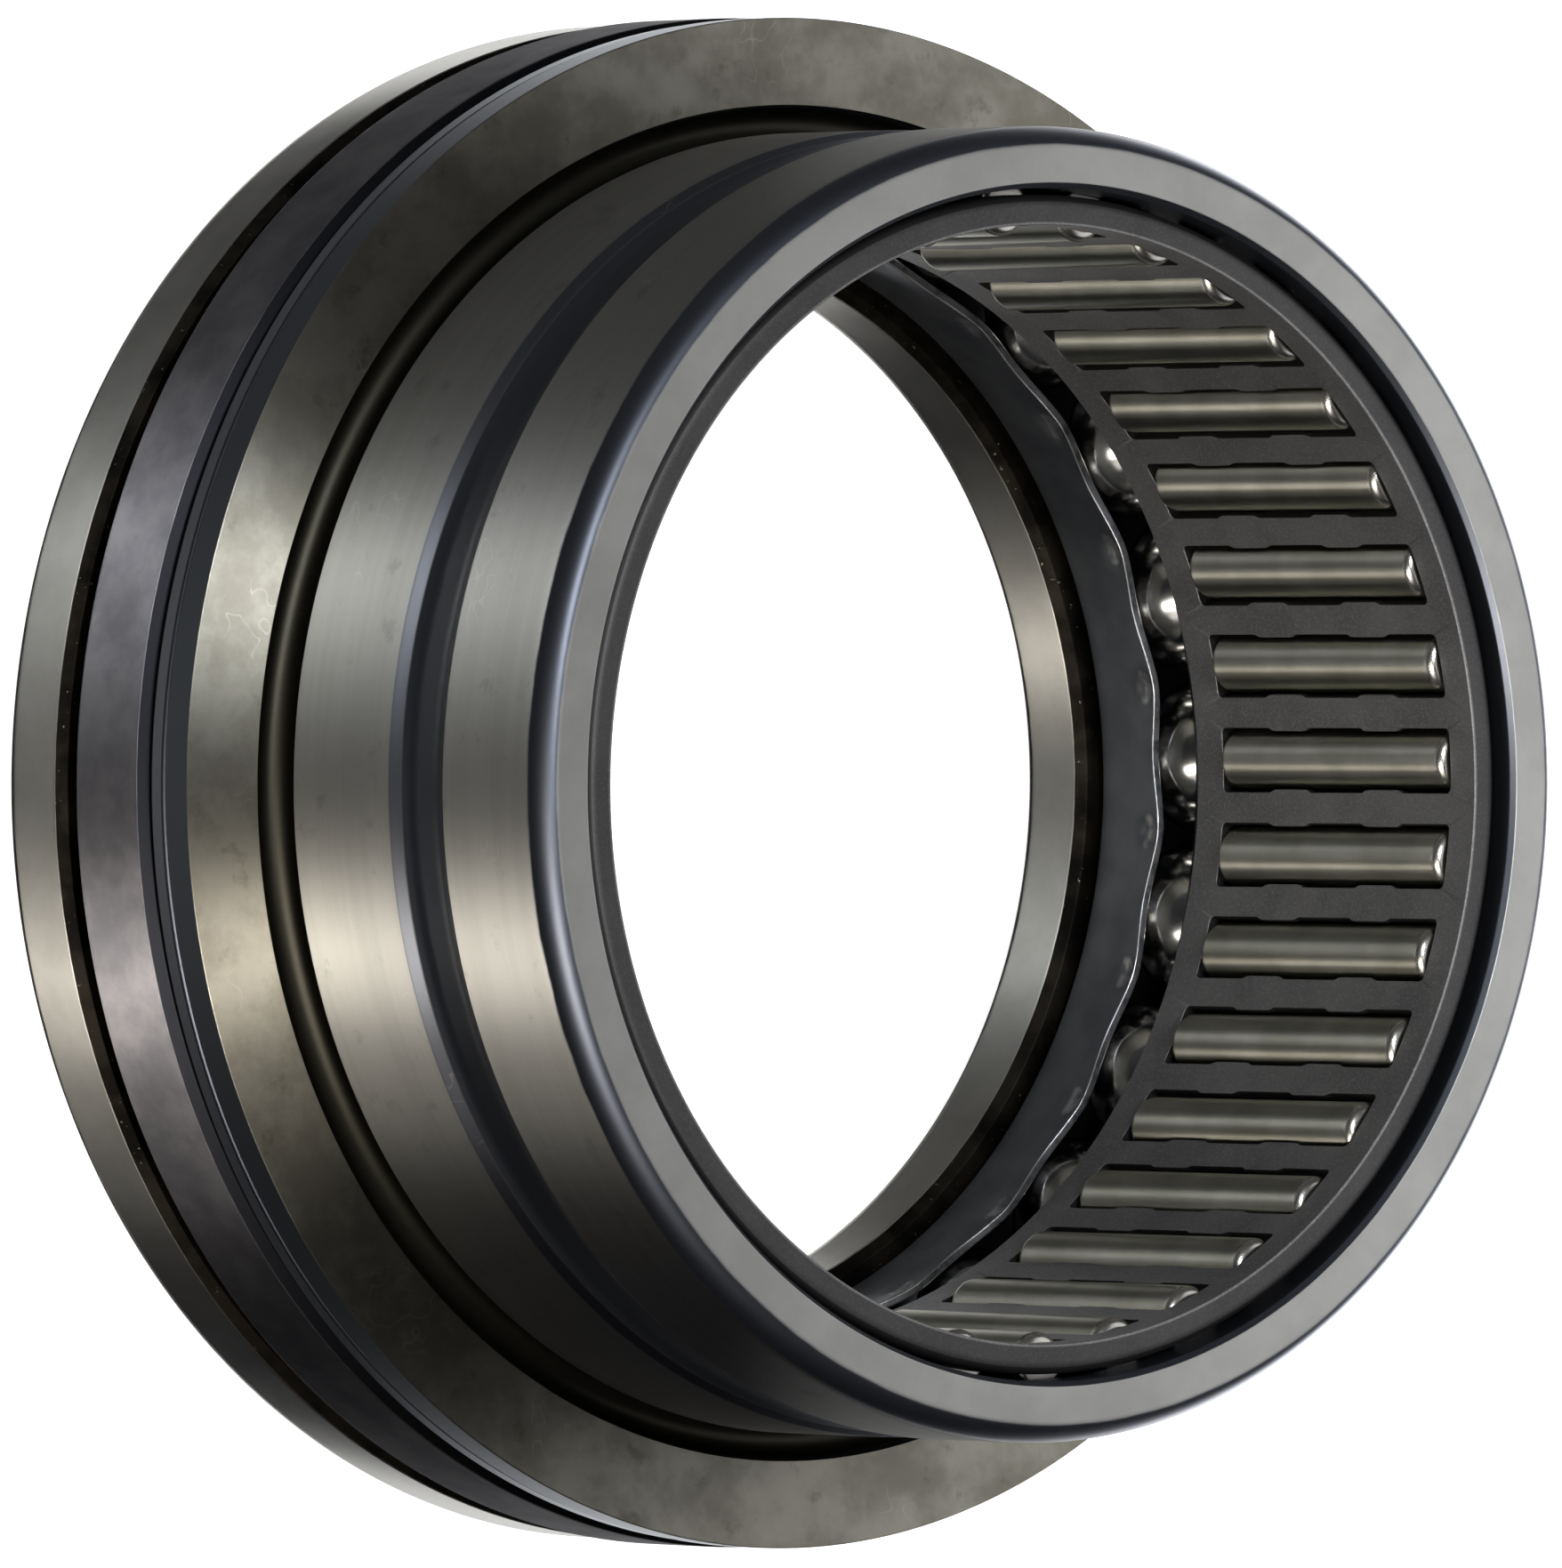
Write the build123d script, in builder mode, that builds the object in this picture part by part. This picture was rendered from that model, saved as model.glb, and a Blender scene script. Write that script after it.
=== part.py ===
from build123d import *
import os
from math import pi, radians, sin

os.makedirs("parts", exist_ok=True)

# Combined needle roller and thrust ball bearing, in millimetres.
# The axis is Z. The shaft washer's rear face is at Z = 0 and the needle end is up.
# Radii are stacked outwards from the shaft, and heights upwards from the washer.

# Overall sizes
shaft_dia = 60.0            # circle that the rollers leave free, and the washer's bore
overall_width = 40.0
thrust_height = 17.0        # from the washer's rear face to the flange's housing face

# Needle rollers and their track
roller_dia = 3.5
roller_count = 36
roller_end_radius = 0.5
roller_play = 0.05          # radial gap between the rollers and their track
roller_end_play = 0.25      # gap from a roller's end to the rib
rear_rib = 0.35             # from the flange's housing face to the roller track
front_rib = 2.95            # from the roller track to the front face

# Thrust balls and their tracks
ball_dia = 8.731
ball_spacing = 0.75         # least gap between neighbouring balls on their circle
ball_play = 0.06            # gap between a ball and the bottom of each track
track_conformity = 0.54     # track radius over ball diameter

# Needle cage
cage_inside_roller = 1.17   # from the roller circle in to the cage's bore
cage_outside_roller = 0.5   # from the roller circle out to the cage's outside
cage_rib_gap = 0.35
cage_setback = 0.9          # from the front face down to the cage's front end
cage_end_ring = 2.3         # width of the cage's rear end ring
cage_front_round = 0.75
cage_rear_chamfer = 0.3
window_side_play = 0.05
window_end_play = 0.2
window_corner = 0.6
tab_reach = 0.17            # how far a retaining tab stands into the window
tab_thickness = 0.3
tab_length = 3.1
tab_offset = 3.95           # from mid-length to the middle of a tab

# Outer ring, cylindrical part
ring_wall = 2.45            # over the roller track
front_corner = (1.25, 1.8)  # radial and axial size of the rounded front corner
rib_chamfer = 0.3
rear_relief = (0.7, 1.6)    # radial and axial size of the bevel below the rear rib
undercut_radius = 1.15
undercut_offset = (0.45, 0.1)
oil_groove_offset = 12.0    # from the flange's housing face to the middle of the groove
oil_groove_floor = 2.0      # width of the flat bottom
oil_groove_depth = 0.6
oil_groove_slope = 1.35     # axial run of each sloping side
oil_hole_dia = 2.5
oil_hole_angle = 45.0

# Outer ring, flange: each turned groove is its near edge, far edge and depth,
# measured from the housing face and from the outside
flange_thickness = 5.4      # beside the ball track
flange_corner = 0.1
flange_grooves = [(1.95, 2.3, 0.35), (3.3, 4.44, 0.6)]
rim_wall = 1.25             # wall of the rim round the ball set
rim_corner = 0.35
rim_gap = 1.5               # gap between the rim's end and the shaft washer's shoulder

# Thrust cage
cage_shaft_gap = 1.2
sheet_wall = 0.5            # the cage's inner flange and outer lip
web_thickness = 0.8
pocket_play = 0.1
pocket_inner_land = 0.085   # between a pocket and the inner flange
pocket_outer_land = 0.285   # between a pocket and the cage's outside
cage_rim_gap = 0.25         # gap between the cage and the ring's rim
cage_washer_gap = 0.55      # gap between the inner flange and the washer's shoulder
inner_flange_height = 5.0   # measured at the peaks of its wavy edge
wave_depth = 0.5
lip_gap = 1.4               # gap from the outer lip to each ring's shoulder

# Shaft washer
washer_thickness = 5.4
washer_step = 0.2           # how far its outside stands in from the flange's
washer_rear_round = 1.45
washer_front_chamfer = 0.54

# Radii, outwards from the shaft
shaft_radius = shaft_dia / 2
roller_radius = roller_dia / 2
roller_circle = shaft_radius + roller_radius
cage_bore = roller_circle - cage_inside_roller
cage_outside = roller_circle + cage_outside_roller
rib_bore = cage_outside + cage_rib_gap
roller_track = shaft_radius + roller_dia + roller_play
housing_radius = roller_track + ring_wall
ball_radius = ball_dia / 2
ball_track = track_conformity * ball_dia
thrust_cage_bore = shaft_radius + cage_shaft_gap
pocket_radius = ball_radius + pocket_play
ball_circle = thrust_cage_bore + sheet_wall + pocket_inner_land + pocket_radius
ball_count = int(2 * pi * ball_circle / (ball_dia + ball_spacing))
thrust_cage_outside = ball_circle + pocket_radius + pocket_outer_land
rim_bore = thrust_cage_outside + cage_rim_gap
flange_radius = rim_bore + rim_wall
washer_radius = flange_radius - washer_step

# Heights, upwards from the washer's rear face
ball_z = thrust_height / 2
lower_track_z = ball_z - ball_radius - ball_play + ball_track
upper_track_z = ball_z + ball_radius + ball_play - ball_track
shoulder_z = thrust_height - flange_thickness
rim_end_z = washer_thickness + rim_gap
inner_flange_z = washer_thickness + cage_washer_gap
inner_flange_top = inner_flange_z + inner_flange_height
track_bottom_z = thrust_height + rear_rib
track_top_z = overall_width - front_rib
roller_bottom_z = track_bottom_z + roller_end_play
roller_length = track_top_z - roller_end_play - roller_bottom_z
roller_mid_z = roller_bottom_z + roller_length / 2
window_length = roller_length + 2 * window_end_play
cage_rear_z = roller_bottom_z - window_end_play - cage_end_ring
cage_front_z = overall_width - cage_setback
oil_groove_z = thrust_height + oil_groove_offset


def corner(section, radius, height):
    """The corner of a section nearest to a radius and a height."""
    return section.vertices().sort_by_distance((radius, height))[0]


def block(inner, outer, bottom, top, mode=Mode.ADD):
    """A rectangle in a half section, given by its two radii and two heights."""
    with Locations(((inner + outer) / 2, (bottom + top) / 2)):
        Rectangle(outer - inner, top - bottom, mode=mode)


def finish(piece, name):
    """Label a finished piece and write it as the node of that name."""
    piece.part.label = name
    export_step(piece.part, f"parts/{name}.step")


# Outer ring: the cylindrical part, the flange and the rim round the balls are one piece
with BuildPart() as outer_ring:
    with BuildSketch(Plane.XZ) as ring_section:
        # Cylindrical part with its rounded front corner
        round_centre = (housing_radius - front_corner[0], overall_width - front_corner[1])
        with BuildLine():
            front = EllipticalCenterArc(round_centre, *front_corner, arc_size=90)
            Polyline(front @ 1, (rib_bore, overall_width), (rib_bore, shoulder_z),
                     (housing_radius, shoulder_z), front @ 0)
        make_face()
        chamfer(corner(ring_section, rib_bore, overall_width), rib_chamfer)

        # Flange and rim
        block(rib_bore, flange_radius, shoulder_z, thrust_height)
        block(rim_bore, flange_radius, rim_end_z, thrust_height)
        chamfer(corner(ring_section, flange_radius, thrust_height), flange_corner)
        fillet(corner(ring_section, flange_radius, rim_end_z), rim_corner)
        chamfer(corner(ring_section, rim_bore, rim_end_z), rim_corner)

        # Undercut where the flange meets the cylindrical part
        with Locations((housing_radius + undercut_offset[0], thrust_height + undercut_offset[1])):
            Circle(undercut_radius, mode=Mode.SUBTRACT)

        # Roller track between the two ribs
        block(0, roller_track, track_bottom_z, track_top_z, mode=Mode.SUBTRACT)

        # Ball track, and the bevel that opens the bore towards it
        with Locations((ball_circle, upper_track_z)):
            Circle(ball_track, mode=Mode.SUBTRACT)
        with BuildLine():
            Polyline((rib_bore, shoulder_z), (rib_bore + rear_relief[0], shoulder_z),
                     (rib_bore, shoulder_z + rear_relief[1]), close=True)
        make_face(mode=Mode.SUBTRACT)

        # Lubrication groove with sloping sides
        groove_bottom = housing_radius - oil_groove_depth
        half_floor = oil_groove_floor / 2
        half_mouth = half_floor + oil_groove_slope
        with BuildLine():
            Polyline((groove_bottom, oil_groove_z - half_floor), (groove_bottom, oil_groove_z + half_floor),
                     (housing_radius, oil_groove_z + half_mouth), (housing_radius, oil_groove_z - half_mouth),
                     close=True)
        make_face(mode=Mode.SUBTRACT)

        for near_edge, far_edge, depth in flange_grooves:
            block(flange_radius - depth, flange_radius, thrust_height - far_edge, thrust_height - near_edge,
                  mode=Mode.SUBTRACT)
    revolve(axis=Axis.Z)

    # Oil hole from the groove into the roller track
    outwards = Vector(1, 0, 0).rotate(Axis.Z, oil_hole_angle)
    with BuildSketch(Plane(origin=(0, 0, oil_groove_z), z_dir=outwards)):
        Circle(oil_hole_dia / 2)
    extrude(amount=housing_radius, mode=Mode.SUBTRACT)

finish(outer_ring, "outer_ring")


# Needle cage: a solid-wall ring with one window for each roller. The window is full width
# but for four tabs at the bore, which keep the roller from falling in.
window_width = roller_dia + 2 * window_side_play
tool_start = cage_bore - 1
tool_reach = cage_outside - tool_start + 1
with BuildPart() as window_tool:
    with BuildSketch(Plane.YZ.offset(tool_start)):
        with Locations((0, roller_mid_z)):
            Rectangle(window_width - 2 * tab_reach, window_length)
    extrude(amount=tool_reach)
    with BuildSketch(Plane.YZ.offset(cage_bore + tab_thickness)):
        with Locations((0, roller_mid_z)):
            RectangleRounded(window_width, window_length, window_corner)
    extrude(amount=tool_reach)
    with BuildSketch(Plane.YZ.offset(tool_start)):
        with Locations((0, roller_mid_z)):
            RectangleRounded(window_width, window_length, window_corner)
        with Locations((0, roller_mid_z - tab_offset), (0, roller_mid_z + tab_offset)):
            Rectangle(window_width, tab_length, mode=Mode.SUBTRACT)
    extrude(amount=tool_reach)

with BuildPart() as needle_cage:
    with BuildSketch(Plane.XZ) as cage_section:
        block(cage_bore, cage_outside, cage_rear_z, cage_front_z)
        fillet(corner(cage_section, cage_outside, cage_front_z), cage_front_round)
        chamfer(corner(cage_section, cage_outside, cage_rear_z), cage_rear_chamfer)
    revolve(axis=Axis.Z)
    with PolarLocations(0, roller_count):
        add(window_tool.part, mode=Mode.SUBTRACT)

finish(needle_cage, "needle_cage")


# Needle rollers, one in each window, counted anticlockwise from +X
roller_places = PolarLocations(roller_circle, roller_count).locations
for number, place in enumerate(roller_places, start=1):
    with BuildPart(Plane(place).offset(roller_mid_z)) as roller:
        Cylinder(roller_radius, roller_length)
        fillet(roller.edges().filter_by(GeomType.CIRCLE), roller_end_radius)
    finish(roller, f"needle_roller_{number:02d}")


# Thrust cage: a pressed web with a tall inner flange, whose edge is wavy from the punching
# of the pockets, and a low outer lip
half_wave = thrust_cage_bore * sin(radians(180 / ball_count))
wave_radius = (half_wave**2 + wave_depth**2) / (2 * wave_depth)
with BuildPart() as wave_tool:
    with BuildSketch(Plane.YZ.offset(thrust_cage_bore - 1)):
        with Locations((0, inner_flange_top - wave_depth + wave_radius)):
            Circle(wave_radius)
    extrude(amount=1 + 2 * sheet_wall)

with BuildPart() as thrust_ball_cage:
    with BuildSketch(Plane.XZ):
        block(thrust_cage_bore, thrust_cage_bore + sheet_wall, inner_flange_z, inner_flange_top)
        block(thrust_cage_bore, thrust_cage_outside, ball_z - web_thickness / 2, ball_z + web_thickness / 2)
        block(thrust_cage_outside - sheet_wall, thrust_cage_outside,
              washer_thickness + lip_gap, shoulder_z - lip_gap)
    revolve(axis=Axis.Z)
    with PolarLocations(ball_circle, ball_count):
        with Locations((0, 0, ball_z)):
            Sphere(pocket_radius, mode=Mode.SUBTRACT)
    with PolarLocations(0, ball_count):
        add(wave_tool.part, mode=Mode.SUBTRACT)

finish(thrust_ball_cage, "thrust_ball_cage")


# Thrust balls, one in each pocket
with BuildPart() as thrust_balls:
    with PolarLocations(ball_circle, ball_count):
        with Locations((0, 0, ball_z)):
            Sphere(ball_radius)

finish(thrust_balls, "thrust_balls")


# Shaft washer with the lower ball track
with BuildPart() as shaft_washer:
    with BuildSketch(Plane.XZ) as washer_section:
        block(shaft_radius, washer_radius, 0, washer_thickness)
        for radius in (shaft_radius, washer_radius):
            fillet(corner(washer_section, radius, 0), washer_rear_round)
            chamfer(corner(washer_section, radius, washer_thickness), washer_front_chamfer)
        with Locations((ball_circle, lower_track_z)):
            Circle(ball_track, mode=Mode.SUBTRACT)
    revolve(axis=Axis.Z)

finish(shaft_washer, "shaft_washer")
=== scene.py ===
import math

import bmesh
import bpy
import numpy as np
from mathutils import Matrix, Vector


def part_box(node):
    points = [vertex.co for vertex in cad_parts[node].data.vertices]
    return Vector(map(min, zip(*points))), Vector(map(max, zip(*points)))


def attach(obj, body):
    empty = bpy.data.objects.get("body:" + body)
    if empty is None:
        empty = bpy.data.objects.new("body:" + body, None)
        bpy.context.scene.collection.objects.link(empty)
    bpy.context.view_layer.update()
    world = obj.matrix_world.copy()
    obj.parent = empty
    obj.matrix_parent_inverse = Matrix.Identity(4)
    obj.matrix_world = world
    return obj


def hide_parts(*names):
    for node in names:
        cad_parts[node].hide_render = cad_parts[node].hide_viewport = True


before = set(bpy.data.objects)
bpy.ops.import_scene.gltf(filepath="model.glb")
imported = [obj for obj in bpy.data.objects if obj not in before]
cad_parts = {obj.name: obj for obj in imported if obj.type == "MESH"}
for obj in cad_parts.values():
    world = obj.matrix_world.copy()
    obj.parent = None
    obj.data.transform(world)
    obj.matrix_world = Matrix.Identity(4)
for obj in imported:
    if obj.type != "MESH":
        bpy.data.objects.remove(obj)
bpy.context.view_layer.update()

# Looks of the combined needle roller and thrust ball bearing.
# Shapes are worked out in millimetres on the bearing's axis, Z, and written in metres.

MM = 0.001
WELD = 2e-6         # metres: closer points become one, which closes seams and poles

# Sizes read from the frame, in millimetres
ring_low, ring_high = (np.array(corner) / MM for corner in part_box("outer_ring"))
cage_low, cage_high = (np.array(corner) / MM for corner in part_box("needle_cage"))
roller_low, roller_high = (np.array(corner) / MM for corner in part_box("needle_roller_01"))
sheet_low, sheet_high = (np.array(corner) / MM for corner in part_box("thrust_ball_cage"))
balls_low, balls_high = (np.array(corner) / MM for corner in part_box("thrust_balls"))
washer_low, washer_high = (np.array(corner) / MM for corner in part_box("shaft_washer"))

front_z = ring_high[2]
rim_end_z = ring_low[2]
flange_radius = ring_high[0]
roller_radius = (roller_high[0] - roller_low[0]) / 2
roller_circle = (roller_high[0] + roller_low[0]) / 2
roller_bottom_z, roller_top_z = roller_low[2], roller_high[2]
roller_mid_z = (roller_bottom_z + roller_top_z) / 2
roller_nodes = sorted(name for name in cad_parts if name.startswith("needle_roller_"))
roller_count = len(roller_nodes)
cage_outside = cage_high[0]
cage_rear_z, cage_front_z = cage_low[2], cage_high[2]
ball_radius = (balls_high[2] - balls_low[2]) / 2
ball_circle = balls_high[0] - ball_radius
ball_z = (balls_high[2] + balls_low[2]) / 2
ball_count = 24
washer_radius = washer_high[0]
washer_top_z = washer_high[2]

# Sizes of the outer ring
shaft_radius = roller_circle - roller_radius
housing_radius = 36.0
flange_face_z = 2 * ball_z
rib_bore = 32.6
roller_track = shaft_radius + 2 * roller_radius + 0.05
track_bottom_z = flange_face_z + 0.35
track_top_z = front_z - 2.95
shoulder_z = 11.6
rim_bore = flange_radius - 1.25
ball_track = 1.08 * ball_radius
track_gap = 0.06
oil_hole_radius = 1.25
oil_hole_angle = np.pi / 4
front_corner = (1.25, 1.8)
groove_z = flange_face_z + 12.0
groove_depth = 0.6
groove_half_width = 2.35
groove_floor_half = 1.0
undercut_radius = 1.15

# Sizes of the cages
cage_bore = 30.58
window_length = roller_top_z - roller_bottom_z + 0.4
window_half_width = 1.8
tab_depth = 0.17
tab_reach = (2.4, 5.55)         # where each tab begins and ends, from the window's middle
side_points = 93                # along a window's side
corner_points = 7               # along a window's rounded corner or its end
sheet_bore = 31.2
sheet_wall = 0.5
pocket_gap = 0.1
bore_edge = 0.1
rear_chamfer = 0.3
front_round = 0.75


# ---------------------------------------------------------------- outlines

def arc(centre, radii, start, end, steps=24):
    """Points on an ellipse: centre plus the two radii times the cosine and sine of an angle
    that goes from start to end, in degrees. Each row is radius, height and edge size 0."""
    angle = np.radians(np.linspace(start, end, steps + 1))
    radii = np.broadcast_to(radii, 2)
    return np.stack([centre[0] + radii[0] * np.cos(angle), centre[1] + radii[1] * np.sin(angle),
                     np.zeros(steps + 1)], axis=1)


def softened(outline, steps=4, support=0.04):
    """A closed outline of rows (radius, height, edge size) with each sized corner replaced by an
    arc that is tangent to its two sides. One more point beside each end of the arc keeps the
    flat sides flat in the shading."""
    count = len(outline)
    points = []
    for index, (radius, height, size) in enumerate(outline):
        here = np.array([radius, height])
        if size <= 0:
            points.append(here)
            continue
        before = outline[index - 1][:2] - here
        after = outline[(index + 1) % count][:2] - here
        to_before = before / np.linalg.norm(before)
        to_after = after / np.linalg.norm(after)
        half = math.acos(np.clip(to_before @ to_after, -1, 1)) / 2
        middle = (to_before + to_after) / np.linalg.norm(to_before + to_after)
        bend = size * math.tan(half)
        centre = here + middle * (size / math.cos(half))
        start = here + to_before * size
        end = here + to_after * size
        points.append(start + to_before * min(support, 0.4 * (np.linalg.norm(before) - size)))
        for share in np.linspace(0, 1, steps + 1):
            towards = (start - centre) * (1 - share) + (end - centre) * share
            points.append(centre + towards / np.linalg.norm(towards) * bend)
        points.append(end + to_after * min(support, 0.4 * (np.linalg.norm(after) - size)))
    return np.array(points)


# ---------------------------------------------------------------- meshes

def piece_from(name, points, faces, body, replaced, materials, slot, sharp=35.0):
    """A named piece from points in millimetres and rows of four corners. Edges that bend by more
    than sharp degrees stay crisp. It rides on a body and stands for its CAD nodes."""
    mesh = bpy.data.meshes.new(name)
    mesh.from_pydata((points * MM).tolist(), [], faces.tolist())
    weld = bmesh.new()
    weld.from_mesh(mesh)
    bmesh.ops.remove_doubles(weld, verts=weld.verts, dist=WELD)
    bmesh.ops.dissolve_degenerate(weld, edges=weld.edges, dist=1e-7)
    weld.to_mesh(mesh)
    weld.free()
    mesh.shade_smooth()
    mesh.set_sharp_from_angle(angle=math.radians(sharp))
    for material in materials:
        mesh.materials.append(material)
    piece = bpy.data.objects.new(name, mesh)
    bpy.context.scene.collection.objects.link(piece)
    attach(piece, body)
    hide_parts(*replaced)
    return piece


def grid_faces(rows, columns, wrap_rows=False, wrap_columns=False, flip=False):
    """The four-cornered faces of a grid of points that are numbered row by row."""
    row = np.arange(rows if wrap_rows else rows - 1)[:, None]
    column = np.arange(columns if wrap_columns else columns - 1)[None, :]
    next_row = (row + 1) % rows
    next_column = (column + 1) % columns
    corners = [row * columns + column, row * columns + next_column,
               next_row * columns + next_column, next_row * columns + column]
    if flip:
        corners.reverse()
    return np.stack([c.ravel() for c in np.broadcast_arrays(*corners)], axis=1)


def on_axis(radius, height, angle):
    """Points in space from radius, height and angle in radians, whose shapes are broadcast."""
    radius, height, angle = np.broadcast_arrays(radius, height, angle)
    return np.stack([radius * np.cos(angle), radius * np.sin(angle), height], axis=-1)


def turned(outline, segments=512):
    """A closed outline carried round the axis: point (r, z) goes to (r cos a, r sin a, z)."""
    r, z = outline[:, 0], outline[:, 1]
    area = np.sum(r * np.roll(z, -1) - np.roll(r, -1) * z)
    angle = np.linspace(0, 2 * np.pi, segments, endpoint=False)
    points = on_axis(r[:, None], z[:, None], angle[None, :])
    faces = grid_faces(len(outline), segments, True, True, flip=area < 0)
    return points.reshape(-1, 3), faces


def joined(parts):
    """Several (points, faces) pairs as one."""
    points, faces, start = [], [], 0
    for part_points, part_faces in parts:
        points.append(part_points)
        faces.append(part_faces + start)
        start += len(part_points)
    return np.concatenate(points), np.concatenate(faces)


def repeated(part, count):
    """A part and its copies turned about the axis, evenly spaced."""
    points, faces = part
    copies = []
    for angle in np.arange(count) * 2 * np.pi / count:
        cosine, sine = np.cos(angle), np.sin(angle)
        spin = np.array([[cosine, -sine, 0], [sine, cosine, 0], [0, 0, 1]])
        copies.append((points @ spin.T, faces))
    return joined(copies)


# ---------------------------------------------------------------- shader maths

class Wire:
    """An output of a material's nodes. Arithmetic on it adds Math nodes."""

    def __init__(self, graph, socket):
        self.graph = graph
        self.socket = socket

    def math(self, operation, *others, clamp=False):
        values = dict(enumerate((self, *others)))
        return self.graph.add("Math", {"operation": operation, "use_clamp": clamp}, values)

    def __add__(self, other):
        return self.math("ADD", other)

    def __radd__(self, other):
        return self.math("ADD", other)

    def __sub__(self, other):
        return self.math("SUBTRACT", other)

    def __rsub__(self, other):
        return self.graph.add("Math", {"operation": "SUBTRACT"}, {0: other, 1: self})

    def __mul__(self, other):
        return self.math("MULTIPLY", other)

    def __rmul__(self, other):
        return self.math("MULTIPLY", other)

    def __truediv__(self, other):
        return self.math("DIVIDE", other)

    def __pow__(self, other):
        return self.math("POWER", other)

    def step(self, low, high):
        """0 below low and 1 above high, or the reverse if low is the greater, with soft ends."""
        return self.graph.add("MapRange", {"interpolation_type": "SMOOTHSTEP"},
                              {"Value": self, "From Min": low, "From Max": high})


class Graph:
    """The nodes of one material or of the world."""

    def __init__(self, tree):
        self.tree = tree
        tree.nodes.clear()

    def add(self, kind, settings=None, inputs=None, output=0):
        """Adds a node: its settings first, a ramp's stops among them, then its inputs, each a
        value or a Wire. Returns the output as a Wire."""
        node = self.tree.nodes.new("ShaderNode" + kind)
        for name, value in (settings or {}).items():
            if name == "stops":
                ramp = node.color_ramp
                while len(ramp.elements) < len(value):
                    ramp.elements.new(1.0)
                for element, (position, colour) in zip(ramp.elements, value):
                    element.position = position
                    element.color = (*colour, 1.0)
            else:
                setattr(node, name, value)
        for name, value in (inputs or {}).items():
            if isinstance(value, Wire):
                self.tree.links.new(value.socket, node.inputs[name])
            else:
                node.inputs[name].default_value = value
        return Wire(self, node.outputs[output]) if len(node.outputs) else None

    def mix(self, share, first, second):
        """A colour that goes from first to second as share goes from 0 to 1."""
        first, second = ((*c, 1.0) if isinstance(c, tuple) else c for c in (first, second))
        return self.add("Mix", {"data_type": "RGBA"}, {0: share, 6: first, 7: second}, output=2)

    def place(self):
        """Object coordinates in millimetres: the point, its x, y and z, and its distance from
        the axis."""
        here = self.add("TexCoord", output=3)
        scaled = self.add("VectorMath", {"operation": "SCALE"}, {0: here, "Scale": 1 / MM})
        x = self.add("SeparateXYZ", inputs={0: scaled})
        y = Wire(self, x.socket.node.outputs[1])
        z = Wire(self, x.socket.node.outputs[2])
        radius = (x * x + y * y) ** 0.5
        return scaled, x, y, z, radius

    def point(self, x, y, z):
        return self.add("CombineXYZ", inputs={0: x, 1: y, 2: z})

    def noise(self, where, scale, detail=2.0, roughness=0.5):
        return self.add("TexNoise", inputs={"Vector": where, "Scale": scale, "Detail": detail,
                                            "Roughness": roughness})

    def bump(self, height, distance, strength=1.0, normal=None):
        """A normal from a height in millimetres times distance."""
        inputs = {"Height": height, "Distance": distance * MM, "Strength": strength}
        if normal is not None:
            inputs["Normal"] = normal
        return self.add("Bump", inputs=inputs)


def metal(name, build):
    """A metal: build(graph) gives its base colour, roughness and normal, and the share of its
    surface that carries grinding lines round the axis, with their roughness, or None."""
    material = bpy.data.materials.new(name)
    material.use_nodes = True
    graph = Graph(material.node_tree)
    colour, roughness, normal, ground, ground_roughness = build(graph)
    surface = graph.add("BsdfPrincipled", None, {
        "Metallic": 1.0, "Base Color": colour, "Roughness": roughness, "Normal": normal})
    if ground is not None:
        brushed = graph.add("BsdfPrincipled", None, {
            "Metallic": 1.0, "Base Color": colour, "Roughness": ground_roughness, "Normal": normal,
            "Anisotropic": 1.0, "Anisotropic Rotation": 0.25})
        surface = graph.add("MixShader", None, {0: ground, 1: surface, 2: brushed})
    graph.add("OutputMaterial", None, {"Surface": surface})
    return material


def rings(graph, x, y, across, radius, pitch, wander=3.0):
    """Fine lines round the axis: a noise that changes quickly across them and slowly along."""
    where = graph.point(x / radius * wander, y / radius * wander, across / pitch)
    return graph.noise(where, 1.0, 3.0, 0.6)


# ---------------------------------------------------------------- finishes

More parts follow.
